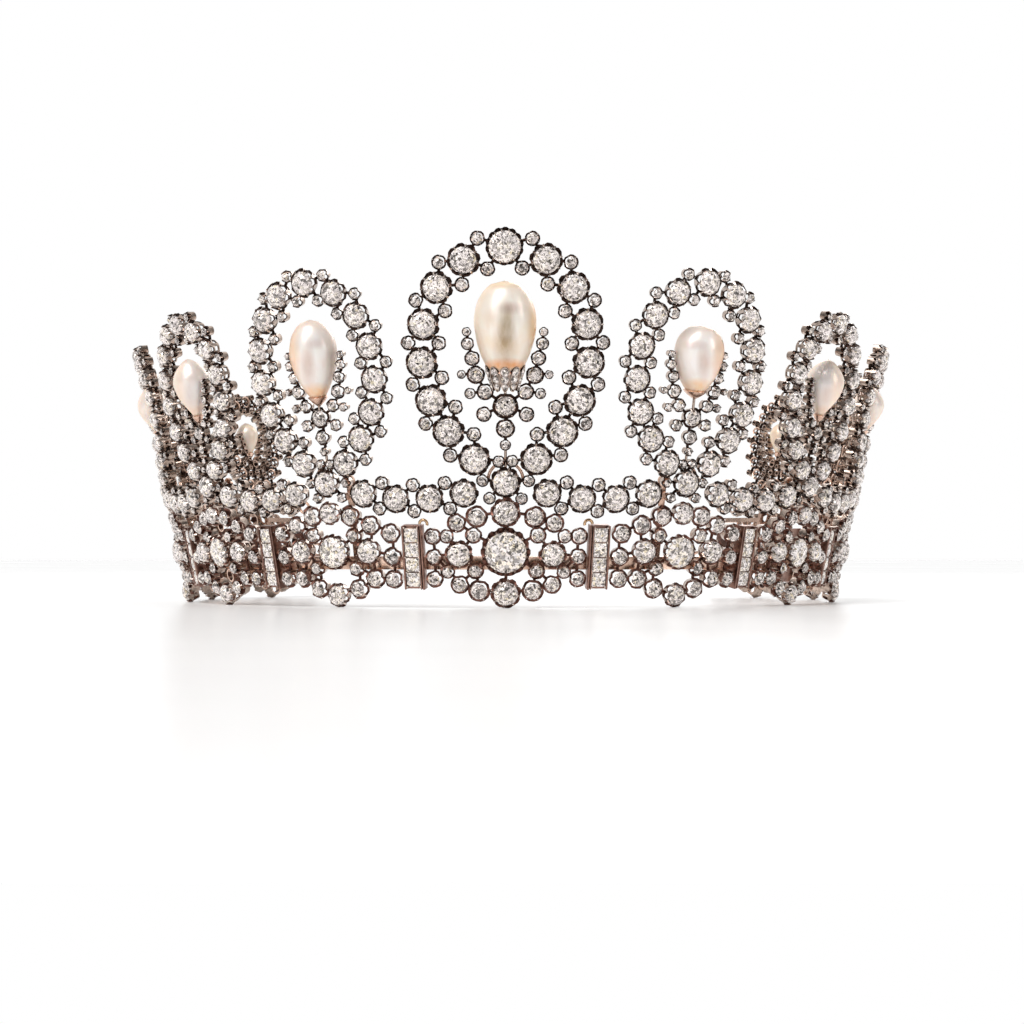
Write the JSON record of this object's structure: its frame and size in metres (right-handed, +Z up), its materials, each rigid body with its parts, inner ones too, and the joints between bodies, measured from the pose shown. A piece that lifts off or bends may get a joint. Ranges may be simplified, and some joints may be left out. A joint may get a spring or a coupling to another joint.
{
  "type": "tiara",
  "caption": "Open tiara: a stone-set band of panels and link bars, a swagged garland, and graduated loops that each hold a drop pearl over a spray.",
  "frame": {"origin": "centre of the tiara's length and depth, on the surface that it rests on", "axes": "+X to the tiara's right as seen from its front, +Y to its open rear, +Z up; the middle pearl faces -Y"},
  "size_m": [0.1926, 0.1673, 0.0852],
  "materials": {
    "pearl": "soft pearly lustre",
    "dark_silver": "dark oxidised silver",
    "panel_silver": "dark oxidised silver",
    "bar_silver": "dark oxidised silver, worn bright at the edges",
    "diamond": "cut stone",
    "panel_diamond": "cut stone",
    "gold": "worn rose gold"
  },
  "bodies": {
    "root": {"pearl_left_5": "pearl", "pearl_left_4": "pearl", "pearl_left_3": "pearl", "pearl_left_2": "pearl", "pearl_left_1": "pearl", "pearl_middle": "pearl", "pearl_right_1": "pearl", "pearl_right_2": "pearl", "pearl_right_3": "pearl", "pearl_right_4": "pearl", "pearl_right_5": "pearl", "loop_left_5": "dark_silver", "loop_left_4": "dark_silver", "loop_left_3": "dark_silver", "loop_left_2": "dark_silver", "loop_left_1": "dark_silver", "loop_middle": "dark_silver", "loop_right_1": "dark_silver", "loop_right_2": "dark_silver", "loop_right_3": "dark_silver", "loop_right_4": "dark_silver", "loop_right_5": "dark_silver", "garland_left_1": "dark_silver", "garland_left_2": "dark_silver", "garland_left_3": "dark_silver", "garland_left_4": "dark_silver", "garland_left_5": "dark_silver", "garland_left_6": "dark_silver", "garland_right_1": "dark_silver", "garland_right_2": "dark_silver", "garland_right_3": "dark_silver", "garland_right_4": "dark_silver", "garland_right_5": "dark_silver", "garland_right_6": "dark_silver", "panel_left_5": "panel_silver", "panel_left_4": "panel_silver", "panel_left_3": "panel_silver", "panel_left_2": "panel_silver", "panel_left_1": "panel_silver", "panel_middle": "panel_silver", "panel_right_1": "panel_silver", "panel_right_2": "panel_silver", "panel_right_3": "panel_silver", "panel_right_4": "panel_silver", "panel_right_5": "panel_silver", "bar_left_1": "bar_silver", "bar_left_2": "bar_silver", "bar_left_3": "bar_silver", "bar_left_4": "bar_silver", "bar_left_5": "bar_silver", "bar_left_6": "bar_silver", "bar_right_1": "bar_silver", "bar_right_2": "bar_silver", "bar_right_3": "bar_silver", "bar_right_4": "bar_silver", "bar_right_5": "bar_silver", "bar_right_6": "bar_silver", "loop_stones": "diamond", "panel_stones": "panel_diamond", "inner_strip": "gold"}
  },
  "joints": []
}
